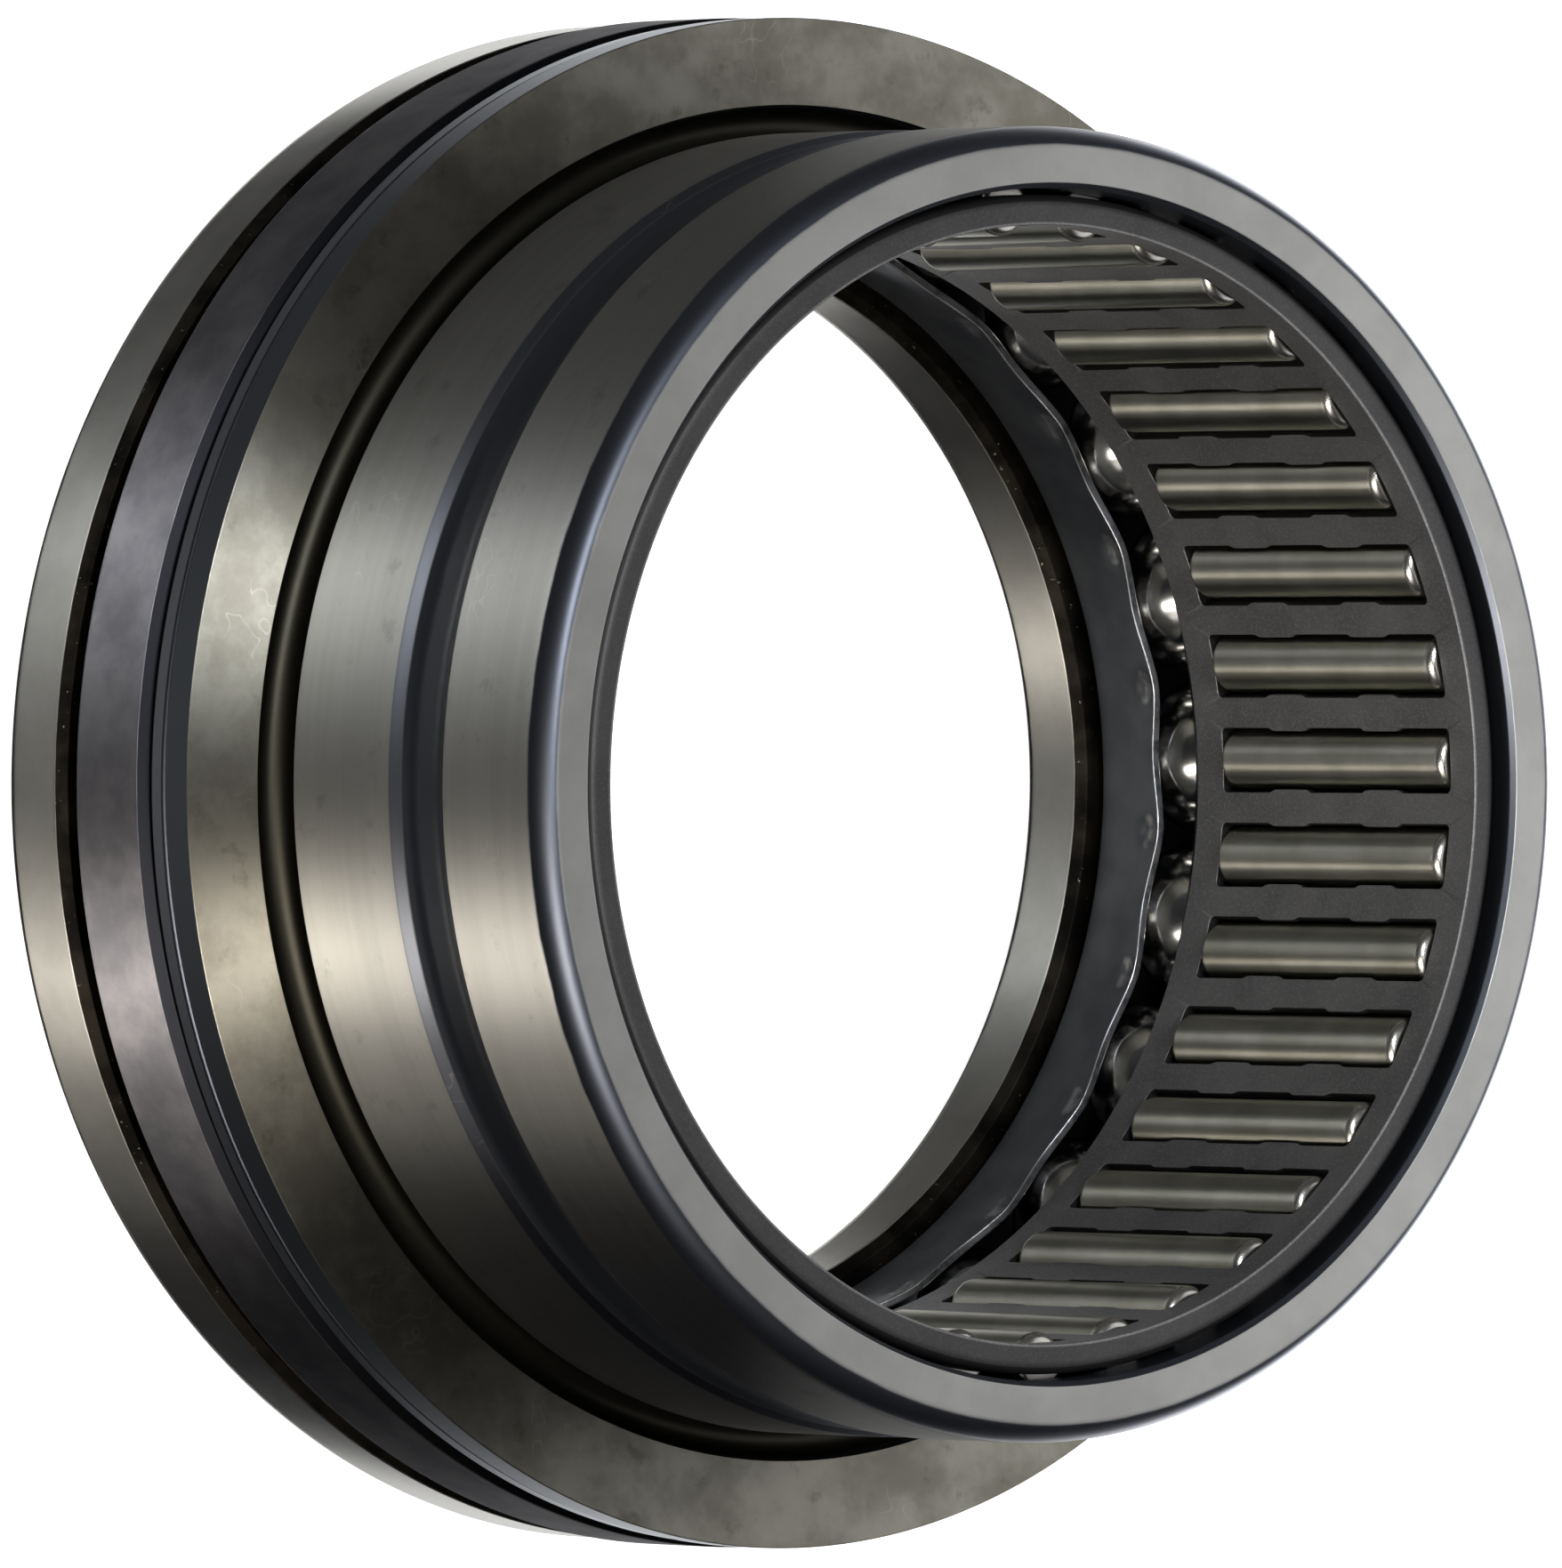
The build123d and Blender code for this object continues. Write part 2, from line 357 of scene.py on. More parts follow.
def ring_finish(graph):
    """Hardened steel, oxide black where it is not ground. Each ground land is told from the rest
    by its radius or its height, with an edge that wanders a little. The undercut and the rim's
    hollow get painted shade, darker than the oxide black."""
    where, x, y, z, radius = graph.place()
    wander = graph.noise(where, 0.35, 3.0)
    edge = (wander - 0.5) * 0.04
    slope = radius.step(housing_radius - 0.34, housing_radius - 0.24) \
        * z.step(groove_z, groove_z - 0.1) * z.step(groove_z - 2.5, groove_z - 2.4)
    land = (radius + edge).step(housing_radius - 0.06, housing_radius - 0.02).math("MAXIMUM", slope)
    seat = land \
        * radius.step(housing_radius + 0.3, housing_radius + 0.2) \
        * z.step(flange_face_z + 1.0, flange_face_z + 1.2)
    face = (z + edge).step(front_z - 0.05, front_z - 0.01)
    flange = (z + edge).step(flange_face_z - 0.05, flange_face_z - 0.01) \
        * z.step(flange_face_z + 0.3, flange_face_z + 0.1) \
        * radius.step(housing_radius + 1.45, housing_radius + 1.6)
    rim = (radius + edge).step(flange_radius - 0.06, flange_radius - 0.02) \
        * z.step(flange_face_z - 4.2, flange_face_z - 4.6)
    # painted shade in the undercut at the flange's root: darker than the oxide black, olive-tinted
    undercut_shade = (z + edge).step(flange_face_z + 1.5, flange_face_z + 1.1) \
        * radius.step(housing_radius + 1.5, housing_radius + 1.35) \
        * z.step(flange_face_z - 1.5, flange_face_z - 1.0)

    lines = rings(graph, x, y, z + radius, radius, 0.05)
    broad = rings(graph, x, y, z + radius, radius, 0.8, 1.5)
    mottle = graph.noise(where, 0.22, 5.0, 0.62)
    cloud = graph.noise(where, 0.06, 3.0)
    speck = graph.noise(where, 1.6, 4.0, 0.7)
    smudge = graph.noise(where, 0.42, 6.0, 0.65).step(0.58, 0.7)
    swell = rings(graph, x, y, z, radius, 3.0, 9.0)

    black = graph.mix(cloud, (0.10, 0.112, 0.14), (0.14, 0.152, 0.185))
    below = flange_face_z - z
    ledge = radius.step(flange_radius - 1.0, flange_radius - 0.9) * below.step(2.2, 1.9)
    ridge = radius.step(flange_radius - 0.35, flange_radius - 0.28) \
        * below.step(3.4, 3.3) * below.step(2.4, 2.5)
    # painted shade in the rim's hollow and on the slope below it, darker than the oxide black
    step = radius.step(flange_radius - 0.7, flange_radius - 0.64) \
        * below.step(4.5, 4.42) * below.step(3.8, 3.9)
    black = graph.mix(ledge, black, (0.22, 0.245, 0.28))
    black = graph.mix(ridge, black, (0.40, 0.43, 0.48))
    # painted shade in the rim's hollow
    black = graph.mix(step, black, (0.017, 0.018, 0.022))
    # painted shade in the undercut
    black = graph.mix(undercut_shade, black, (0.036, 0.034, 0.027))
    seat_colour = graph.mix(broad.step(0.3, 0.7), (0.47, 0.465, 0.44), (0.51, 0.505, 0.48))
    seat_colour = graph.mix(smudge * 0.35, seat_colour, (0.26, 0.25, 0.225))
    seat_colour = graph.mix(slope, seat_colour, (0.22, 0.23, 0.265))
    face_colour = graph.mix(mottle.step(0.3, 0.7), (0.46, 0.46, 0.455), (0.53, 0.53, 0.525))
    flange_colour = graph.mix(mottle.step(0.35, 0.65), (0.32, 0.305, 0.26), (0.45, 0.435, 0.38))
    flange_colour = graph.mix(smudge * 0.45, flange_colour, (0.17, 0.16, 0.125))
    curl = (graph.noise(where, 0.5, 1.0) - 0.5).math("ABSOLUTE").step(0.012, 0.003)
    scratch = curl * graph.noise(where, 0.16, 1.0).step(0.6, 0.66)
    flange_colour = graph.mix(scratch * 0.25, flange_colour, (0.8, 0.78, 0.68))
    seat_colour = graph.mix(scratch * 0.2, seat_colour, (0.8, 0.79, 0.75))
    rim_colour = graph.mix(mottle.step(0.3, 0.7), (0.26, 0.255, 0.28), (0.42, 0.405, 0.43))
    colour = graph.mix(seat, black, seat_colour)
    colour = graph.mix(face, colour, face_colour)
    colour = graph.mix(flange, colour, flange_colour)
    colour = graph.mix(rim, colour, rim_colour)

    roughness = 0.38 + 0.06 * speck + face * 0.1
    height = lines * (0.3 + 0.7 * seat) + mottle * flange * 4.0 + speck * face * 0.6 \
        + swell * rim * 22.0
    ground = seat.math("MAXIMUM", flange).math("MAXIMUM", rim)
    ground_roughness = 0.42 + 0.05 * lines - 0.1 * flange * mottle
    return colour, roughness, graph.bump(height, 0.003), ground, ground_roughness


def washer_finish(graph):
    """Ground steel with brown oxide left in the chamfers, darkened to near black by painted
    shade.
    """
    where, x, y, z, radius = graph.place()
    edge = (graph.noise(where, 0.4, 3.0) - 0.5) * 0.05
    outside = (radius + edge).step(washer_radius - 0.06, washer_radius - 0.02)
    inside = (radius + edge).step(shaft_radius + 0.06, shaft_radius + 0.02)
    rear = (z + edge).step(0.05, 0.01)
    ground = outside.math("MAXIMUM", inside).math("MAXIMUM", rear)
    lines = rings(graph, x, y, z + radius, radius, 0.07)
    mottle = graph.noise(where, 0.3, 5.0, 0.6)
    # brown oxide, made near black by painted shade on every face that is not ground
    brown_oxide_and_shade = graph.mix(mottle.step(0.35, 0.65), (0.006, 0.0055, 0.005), (0.022, 0.019, 0.015))
    steel = graph.mix(mottle.step(0.3, 0.7), (0.62, 0.61, 0.57), (0.72, 0.71, 0.67))
    fleck = graph.noise(where, 2.2, 3.0, 0.7).step(0.66, 0.74)
    brown_oxide_and_shade = graph.mix(fleck * 0.8, brown_oxide_and_shade, (0.3, 0.28, 0.24))
    colour = graph.mix(ground, brown_oxide_and_shade, steel)
    roughness = 0.5 + 0.1 * mottle - 0.33 * ground
    return colour, roughness, graph.bump(lines, 0.003), ground * 0.62, 0.42 + 0.06 * lines


def needle_cage_finish(graph):
    """Matt dark steel, with painted shade: near black in its windows, on its outside and at its
    rear end, and most of the way to that on its front end and the rounding there.
    """
    where, _, _, z, radius = graph.place()
    grain = graph.noise(where, 7.0, 4.0, 0.7)
    cloud = graph.noise(where, 0.25, 3.0)
    # painted shade: full on every surface off the bore below the front end, three quarters on the
    # front end and its rounding
    painted_shade = radius.step(cage_bore + 0.008, cage_bore + 0.03) \
        * z.step(cage_front_z - 0.02, cage_front_z - 0.12)
    end = radius.step(cage_bore + 0.1, cage_bore + 0.2) \
        * z.step(cage_front_z - 0.5, cage_front_z - 0.1)
    painted_shade = painted_shade.math("MAXIMUM", end * 0.75)
    colour = graph.mix(cloud.step(0.3, 0.7), (0.24, 0.24, 0.25), (0.31, 0.31, 0.32))
    colour = graph.mix(grain.step(0.45, 0.7) * 0.6, colour, (0.5, 0.5, 0.5))
    # the near black of the painted shade
    colour = graph.mix(painted_shade, colour, (0.05, 0.05, 0.052))
    roughness = 0.55 + 0.1 * grain
    return colour, roughness, graph.bump(grain, 0.006), None, None


def sheet_finish(graph):
    """Blue-black pressed sheet. Painted shade makes everything beyond the inner flange's inner face
    near black. Where it was sheared, at the flange's top edge, it is patchy near white: bare
    metal, lifted to a painted highlight.
    """
    where, _, _, z, radius = graph.place()
    grain = graph.noise(where, 3.0, 4.0, 0.7)
    cloud = graph.noise(where, 0.3, 3.0)
    # bare sheared metal at the flange's top edge, and the pinched inner face next to it, lifted to
    # a painted highlight
    sheared_painted_highlight = (radius.step(sheet_bore + 0.04, sheet_bore + 0.1)
               * radius.step(sheet_bore + sheet_wall + 0.02, sheet_bore + sheet_wall)
               * z.step(9.6, 9.9))
    # painted shade: near black on the flange's outer face, the web and the lip
    painted_shade_beyond_flange = radius.step(sheet_bore + sheet_wall - 0.03, sheet_bore + sheet_wall + 0.03)
    dark = graph.mix(cloud.step(0.3, 0.7), (0.28, 0.30, 0.33), (0.38, 0.40, 0.43))
    dark = graph.mix(painted_shade_beyond_flange, dark, (0.03, 0.032, 0.038))
    # breaks the painted highlight into patches
    highlight_patches = graph.noise(where, 1.2, 3.0).step(0.25, 0.6)
    colour = graph.mix(sheared_painted_highlight * highlight_patches, dark, (0.95, 0.95, 0.96))
    roughness = 0.36 + 0.1 * grain - 0.06 * sheared_painted_highlight
    return colour, roughness, graph.bump(grain, 0.006), None, None


def roller_finish(graph):
    """Lapped steel with a faint straw tint, very fine lines round each roller and polished ends."""
    where, x, y, z, _ = graph.place()
    lines = graph.noise(graph.point(x * 0.05, y * 0.05, z / 0.08), 1.0, 3.0, 0.6)
    cloud = graph.noise(where, 0.3, 3.0)
    colour = graph.mix(cloud.step(0.3, 0.7), (0.46, 0.455, 0.385), (0.58, 0.57, 0.5))
    side = z.step(roller_bottom_z + 0.3, roller_bottom_z + 0.6) \
        * z.step(roller_top_z - 0.3, roller_top_z - 0.6)
    colour = graph.mix(side, (0.6, 0.585, 0.55), colour)
    return colour, 0.24 + 0.05 * cloud, graph.bump(lines, 0.0015), side, 0.28 + 0.06 * lines


def ball_finish(graph):
    """Mirror-polished steel with a trace of grease haze."""
    where, *_ = graph.place()
    cloud = graph.noise(where, 0.4, 4.0)
    colour = graph.mix(cloud.step(0.3, 0.7), (0.36, 0.36, 0.36), (0.46, 0.46, 0.46))
    roughness = 0.12 + 0.08 * cloud
    return colour, roughness, graph.bump(cloud, 0.001), None, None


ring_steel = metal("ring_steel", ring_finish)
washer_steel = metal("washer_steel", washer_finish)
needle_cage_steel = metal("needle_cage_steel", needle_cage_finish)
sheet_steel = metal("sheet_steel", sheet_finish)
roller_steel = metal("roller_steel", roller_finish)
ball_steel = metal("ball_steel", ball_finish)


# ---------------------------------------------------------------- outer ring

def ring_outline():
    """The ring's half section: front face, rounded corner, seat with its lubrication groove,
    undercut, flange, rim, ball track and roller track."""
    corner_wide, corner_tall = front_corner
    flange_edge = flange_radius - 0.08
    neck = flange_radius - 0.35
    ridge = flange_radius - 0.18
    hollow = flange_radius - 0.6
    upper_track_z = ball_z + ball_radius + track_gap - ball_track
    track_edge = math.degrees(math.acos((shoulder_z - upper_track_z) / ball_track))
    undercut = (housing_radius + 0.45, flange_face_z + 0.1)
    return np.vstack([
        [(rib_bore + 0.3, front_z, 0.05)],
        arc((housing_radius - corner_wide, front_z - corner_tall), front_corner, 90, 0),
        [(housing_radius, groove_z + groove_half_width, 0.06),
         (housing_radius - groove_depth, groove_z + groove_floor_half, 0.4),
         (housing_radius - groove_depth, groove_z - groove_floor_half, 0.4),
         (housing_radius, groove_z - groove_half_width, 0.06)],
        arc(undercut, undercut_radius, 113, 355, 30),
        [(flange_edge, flange_face_z, 0.07),
         (flange_edge, flange_face_z - 1.95, 0.06),
         (neck, flange_face_z - 2.12, 0.05),
         (ridge, flange_face_z - 2.3, 0.05),
         (ridge, flange_face_z - 3.3, 0.08),
         (hollow, flange_face_z - 3.55, 0.1),
         (hollow, flange_face_z - 4.0, 0.1),
         (flange_radius, flange_face_z - 4.44, 0.08),
         (flange_radius, rim_end_z, 0.4),
         (rim_bore, rim_end_z, 0.3),
         (rim_bore, shoulder_z, 0.2)],
        arc((ball_circle, upper_track_z), ball_track, 90 - track_edge, 90 + track_edge - 4, 36),
        [(rib_bore, shoulder_z + 1.6, 0.1),
         (rib_bore, track_bottom_z, 0.05),
         (roller_track, track_bottom_z, 0.1),
         (roller_track, track_top_z, 0.1),
         (rib_bore, track_top_z, 0.05),
         (rib_bore, front_z - 0.3, 0.05)],
    ])


def drilled_ring(outline, segments=320, half_span=4, steps=8):
    """The ring with a round oil hole from its groove to its roller track, at oil_hole_angle.
    Both surfaces lose a rectangle of faces there. Each point of the rectangle's rim goes straight
    to the point of the hole's edge that lies in the same direction from the hole's middle, keeping
    the surface's own radius at its height, and the hole's wall joins the two edges."""
    middle = np.array([0.0, groove_z])
    groove = np.flatnonzero((outline[:, 0] > housing_radius - groove_depth - 0.1)
                            & (np.abs(outline[:, 1] - groove_z) < groove_half_width + 0.01))
    on_track = np.flatnonzero(np.abs(outline[:, 0] - roller_track) < 1e-6)
    split = on_track[np.argmax(np.diff(outline[on_track, 1]))] + 1
    heights = outline[groove, 1]
    added = np.stack([np.full(len(heights), roller_track), heights[::-1]], axis=1)
    outline = np.insert(outline, split, added, axis=0)
    points, faces = turned(outline, segments)
    column = round(segments * oil_hole_angle / (2 * np.pi))
    row_of, column_of = np.divmod(np.arange(len(faces)), segments)
    lost = (column_of >= column - half_span) & (column_of < column + half_span)
    lost &= ((row_of >= groove[0]) & (row_of < groove[-1])) \
        | ((row_of >= split) & (row_of < split + len(groove) - 1))

    last = len(groove) - 1
    across = np.arange(-half_span, half_span + 1)
    down = np.arange(1, last)
    rim_row = np.concatenate([0 * across, down, 0 * across + last, down[::-1]])
    rim_column = np.concatenate([across, 0 * down + half_span, across[::-1], 0 * down - half_span])
    offset = rim_column * 2 * np.pi / segments
    rows = []
    for radii, order in ((outline[groove, 0], 1), (np.full(len(groove), roller_track), -1)):
        start = np.stack([radii[rim_row] * np.sin(offset), heights[rim_row]], axis=1)
        way = start - middle
        edge = middle + way / np.linalg.norm(way, axis=1)[:, None] * oil_hole_radius
        share = np.linspace(0, 1, steps)[::order, None, None]
        flat = start * (1 - share) + edge * share
        radius = np.interp(flat[..., 1], heights[::-1], radii[::-1])
        angle = oil_hole_angle + np.arcsin(flat[..., 0] / radius)
        rows.append(on_axis(radius, flat[..., 1], angle))
    patch = np.concatenate(rows)
    patch_faces = grid_faces(2 * steps, len(rim_row), wrap_columns=True, flip=True)
    return joined([(points, faces[~lost]), (patch.reshape(-1, 3), patch_faces)])


piece_from("outer_ring_steel", *drilled_ring(softened(ring_outline())), "outer_ring",
           ["outer_ring"], [ring_steel], "ring_steel")


# ---------------------------------------------------------------- shaft washer

def washer_outline():
    """The washer's half section, with rounded rear edges and the lower ball track."""
    lower_track_z = ball_z - ball_radius - track_gap + ball_track
    track_edge = math.degrees(math.acos((lower_track_z - washer_top_z) / ball_track))
    round_size = 1.45
    chamfer = 0.54
    return np.vstack([
        arc((shaft_radius + round_size, round_size), round_size, 180, 270, 12),
        arc((washer_radius - round_size, round_size), round_size, 270, 360, 12),
        [(washer_radius, washer_top_z - chamfer, 0.06),
         (washer_radius - chamfer, washer_top_z, 0.06)],
        arc((ball_circle, lower_track_z), ball_track, 270 + track_edge, 270 - track_edge, 36),
        [(shaft_radius + chamfer, washer_top_z, 0.06),
         (shaft_radius, washer_top_z - chamfer, 0.06)],
    ])


piece_from("shaft_washer_steel", *turned(softened(washer_outline())), "shaft_washer",
           ["shaft_washer"], [washer_steel], "washer_steel")


# ---------------------------------------------------------------- needle cage

def window_outline(tabs):
    """Points (x, z) of a window from its middle: one side, its corner, one end and the next
    corner, then the same again turned half round. The tabs narrow it by tab_depth times the
    difference of two S-curves, 1 between the two distances in tab_reach and 0 elsewhere."""
    half_length = window_length / 2
    corner = 0.36
    side = np.linspace(-half_length + corner, half_length - corner, side_points)
    width = np.full(side_points, window_half_width)
    if tabs:
        def ramp(at):
            return 1 / (1 + np.exp((np.abs(side) - at) / 0.06))
        width = width - tab_depth * (ramp(tab_reach[1]) - ramp(tab_reach[0]))
    quarter = np.radians(np.linspace(0, 90, corner_points))[1:-1]
    top = np.linspace(width[-1] - corner, -width[-1] + corner, corner_points)
    x = np.concatenate([width, width[-1] - corner + corner * np.cos(quarter), top,
                        -width[-1] + corner - corner * np.sin(quarter)])
    z = np.concatenate([side, half_length - corner + corner * np.sin(quarter),
                        np.full(corner_points, half_length),
                        half_length - corner + corner * np.cos(quarter)])
    return np.concatenate([x, -x]), np.concatenate([z, -z])


def sector_frame(x, z, half_angle, bottom, top):
    """The point of a sector's rim that goes with each point of its window: long sides to long
    sides and ends to ends, split at the corners' middles."""
    count = len(x) // 2
    half_corner = corner_points // 2
    angle = np.empty_like(x)
    height = np.empty_like(z)
    for start, sign in ((0, 1), (count, -1)):
        side = np.arange(start - half_corner, start + side_points + half_corner) % (2 * count)
        end = np.arange(start + side_points + half_corner,
                        start + count - half_corner) % (2 * count)
        run = z[side]
        share = (run - run[0]) / (run[-1] - run[0])
        low, high = (bottom, top) if sign > 0 else (top, bottom)
        height[side] = low + (high - low) * share
        angle[side] = sign * half_angle
        first, last = side[-1], (start + count - half_corner) % (2 * count)
        across = (x[end] - x[first]) / (x[last] - x[first])
        angle[end] = sign * half_angle * (1 - 2 * across)
        height[end] = high
    return angle, height


def cage_sector():
    """One window and the half bars beside it. On the bore and on the outside, a point goes from
    the window's edge to the sector's rim in angle and height; the window's walls join the two,
    with a step behind the tabs. Gives also the angle and the level of each point of the rim, 0
    at the rear end and 1 at the front."""
    half_angle = np.pi / roller_count
    edge = 0.04             # the rounding where a window's wall meets the bore or the outside
    tab_wall = 0.3          # how far the tabs reach outwards from the bore
    tab_step = 0.06
    mean_half_width = 1.78
    x_tab, z_tab = window_outline(True)
    x_open, z_open = window_outline(False)
    grow = 1 + edge / mean_half_width
    stretch = 1 + edge / (window_length / 2)
    rows = []

    def ring(radius, x, z):
        rows.append(on_axis(radius, roller_mid_z + z, np.arcsin(x / radius)))

    def rim_of(radius, x, z, bottom, top):
        angle, height = sector_frame(x, z, half_angle, bottom, top)
        rows.append(on_axis(radius, height, angle))

    rim_of(cage_bore, x_tab, z_tab, cage_rear_z + bore_edge, cage_front_z - bore_edge)
    near_angle = np.arcsin(np.clip(x_tab * grow / cage_bore, -1, 1))
    rows.append(on_axis(cage_bore, roller_mid_z + z_tab * stretch, near_angle))
    ring(cage_bore + edge, x_tab, z_tab)
    ring(cage_bore + tab_wall, x_tab, z_tab)
    ring(cage_bore + tab_wall + tab_step, x_open, z_open)
    ring(cage_outside - edge, x_open, z_open)
    ring(cage_outside, x_open * grow, z_open * stretch)
    rim_of(cage_outside, x_open, z_open, cage_rear_z + rear_chamfer, cage_front_z - front_round)
    points = np.array(rows)
    count = points.shape[1]
    rim_angle, rim_level = sector_frame(x_tab, z_tab, half_angle, 0, 1)
    return points, grid_faces(len(rows), count, wrap_columns=True, flip=True), rim_angle, rim_level


def needle_cage_parts():
    """A sector for each roller, and the two end rings that close them."""
    points, faces, angle, height = cage_sector()
    sectors = repeated((points.reshape(-1, 3), faces), roller_count)
    ends = []
    profiles = {
        1: softened(np.vstack([
            [(cage_bore, cage_front_z - bore_edge, 0), (cage_bore, cage_front_z, 0.08)],
            arc((cage_outside - front_round, cage_front_z - front_round), front_round,
                90, 0, 10)])),
        0: softened(np.array([
            (cage_bore, cage_rear_z + bore_edge, 0), (cage_bore, cage_rear_z, 0.08),
            (cage_outside - rear_chamfer, cage_rear_z, 0.04),
            (cage_outside, cage_rear_z + rear_chamfer, 0)])),
    }
    for level, profile in profiles.items():
        along = np.unique(np.round(angle[height == level], 9))
        grid = on_axis(profile[:, 0][:, None], profile[:, 1][:, None], along[None, :])
        end_faces = grid_faces(len(profile), len(along), flip=level == 1)
        ends.append(repeated((grid.reshape(-1, 3), end_faces), roller_count))
    return joined([sectors, *ends])


piece_from("needle_cage_body", *needle_cage_parts(), "needle_cage", ["needle_cage"],
           [needle_cage_steel], "needle_cage_steel")


# ---------------------------------------------------------------- needle rollers

def roller_parts(angle):
    """A roller about its own axis: a straight side with rounded ends, closed at both poles, then
    moved out to its place."""
    end = 0.58          # radius of the rounding
    pole = 1e-4         # small enough to be welded to one point
    flat = 0.45
    support = 0.05      # keeps the straight side straight in the shading
    outline = np.vstack([
        [(pole, roller_bottom_z, 0)],
        [(flat, roller_bottom_z, 0)],
        arc((roller_radius - end, roller_bottom_z + end), end, 270, 360, 8),
        [(roller_radius, roller_bottom_z + end + support, 0)],
        [(roller_radius, roller_top_z - end - support, 0)],
        arc((roller_radius - end, roller_top_z - end), end, 0, 90, 8),
        [(flat, roller_top_z, 0)],
        [(pole, roller_top_z, 0)],
    ])[:, :2]
    turn = np.linspace(0, 2 * np.pi, 48, endpoint=False)
    points = on_axis(outline[:, 0][:, None], outline[:, 1][:, None], turn[None, :]).reshape(-1, 3)
    points = points + on_axis(roller_circle, 0.0, angle)
    return points, grid_faces(len(outline), len(turn), wrap_columns=True)


for number, node in enumerate(roller_nodes):
    piece_from(f"{node}_steel", *roller_parts(2 * np.pi * number / roller_count), node, [node],
               [roller_steel], "roller_steel", sharp=60)


# ---------------------------------------------------------------- thrust cage and balls

def wave(angle):
    """How far the inner flange's edge is below its peaks: a quarter of a millimetre times one
    plus the cosine of the angle times the ball count, so it is deepest at each ball."""
    return 0.25 * (1 + np.cos(ball_count * angle))


def flange_parts():
    """The inner flange: a closed band whose upper edge follows the wave. The wave fades
    downwards, by a share of its height to the power 1.5. Below each peak a pinch pushes the band
    outwards by a bell curve in angle and in height."""
    point_gap = 0.2                     # along the outline
    wave_fade = 2.6                     # height over which the wave fades out
    pinch_depth, pinch_low = 0.24, 0.85
    pinch_angle, pinch_height = 1.5, 0.6        # degrees and millimetres
    low, high = sheet_low[2], sheet_high[2]
    outline = softened(np.array([
        (sheet_bore, low, 0.15), (sheet_bore + sheet_wall, low, 0.15),
        (sheet_bore + sheet_wall, high, 0.1), (sheet_bore, high, 0.1)]))
    closer = []
    for start, end in zip(outline, np.roll(outline, -1, axis=0)):
        length = np.linalg.norm(end - start)
        steps = max(1, int(length / point_gap))
        for share in np.arange(steps) / steps:
            closer.append(start + (end - start) * share)
    outline = np.array(closer)
    angle = np.linspace(0, 2 * np.pi, 32 * ball_count, endpoint=False)
    r, z = outline[:, 0][:, None], outline[:, 1][:, None]
    share = np.clip((z - (high - wave_fade)) / wave_fade, 0, 1)
    height = z - wave(angle) * share ** 1.5
    off_peak = (angle * ball_count / (2 * np.pi) % 1 - 0.5) * 360 / ball_count
    pinch = pinch_depth * np.exp(-(off_peak / pinch_angle) ** 2
                                 - ((z - (high - pinch_low)) / pinch_height) ** 2)
    points = on_axis(r + pinch, height, angle[None, :])
    return points.reshape(-1, 3), grid_faces(len(outline), len(angle), True, True)


def web_parts():
    """The flat web: in each sector a point goes from the round pocket to the sector's rim in
    radius and angle, on both faces, with walls at the pocket and at both edges."""
    inset = 0.2         # into the inner flange and the outer lip
    half_thickness = 0.4
    pocket = ball_radius + pocket_gap
    inner, outer = sheet_bore + inset, sheet_high[0] - inset
    half_angle = np.pi / ball_count
    turn = np.linspace(0, 2 * np.pi, 96, endpoint=False)
    u, v = np.cos(turn), np.sin(turn)
    pocket_x, pocket_y = ball_circle + pocket * u, pocket * v
    pocket_r, pocket_a = np.hypot(pocket_x, pocket_y), np.arctan2(pocket_y, pocket_x)
    biggest = np.maximum(np.abs(u), np.abs(v))
    rim_r = (inner + outer) / 2 + (outer - inner) / 2 * u / biggest
    rim_a = half_angle * v / biggest
    top, bottom = ball_z + half_thickness, ball_z - half_thickness
    rows = [on_axis(rim_r, top, rim_a), on_axis(pocket_r, top, pocket_a),
            on_axis(pocket_r, bottom, pocket_a), on_axis(rim_r, bottom, rim_a),
            on_axis(rim_r, top, rim_a)]
    points = np.array(rows)
    faces = grid_faces(5, len(turn), wrap_columns=True)
    edge_wall = np.abs(u) > np.abs(v) - 1e-9
    kept = np.ones(len(faces), bool)
    kept[3 * len(turn):] = edge_wall & np.roll(edge_wall, -1)
    return repeated((points.reshape(-1, 3), faces[kept]), ball_count)


def lip_parts():
    """The outer lip, a low closed band."""
    gap = 1.4           # to the washer and to the ring's shoulder
    outer = sheet_high[0]
    low, high = washer_top_z + gap, shoulder_z - gap
    outline = softened(np.array([(outer - sheet_wall, low, 0.15), (outer, low, 0.15),
                                 (outer, high, 0.15), (outer - sheet_wall, high, 0.15)]))
    return turned(outline, 384)


piece_from("thrust_cage_sheet", *joined([flange_parts(), web_parts(), lip_parts()]), "ball_set",
           ["thrust_ball_cage"], [sheet_steel], "thrust_cage_steel")


def ball_parts():
    """A sphere on a grid of longitude and latitude, closed at both poles."""
    latitude = np.radians(np.linspace(-89.99, 89.99, 33))
    longitude = np.linspace(0, 2 * np.pi, 56, endpoint=False)
    points = on_axis(ball_radius * np.cos(latitude)[:, None],
                     ball_radius * np.sin(latitude)[:, None], longitude[None, :])
    points = points.reshape(-1, 3) + np.array([ball_circle, 0, ball_z])
    return points, grid_faces(len(latitude), len(longitude), wrap_columns=True)


piece_from("thrust_ball_row", *repeated(ball_parts(), ball_count), "ball_set", ["thrust_balls"],
           [ball_steel], "ball_steel", sharp=80)


# ---------------------------------------------------------------- camera

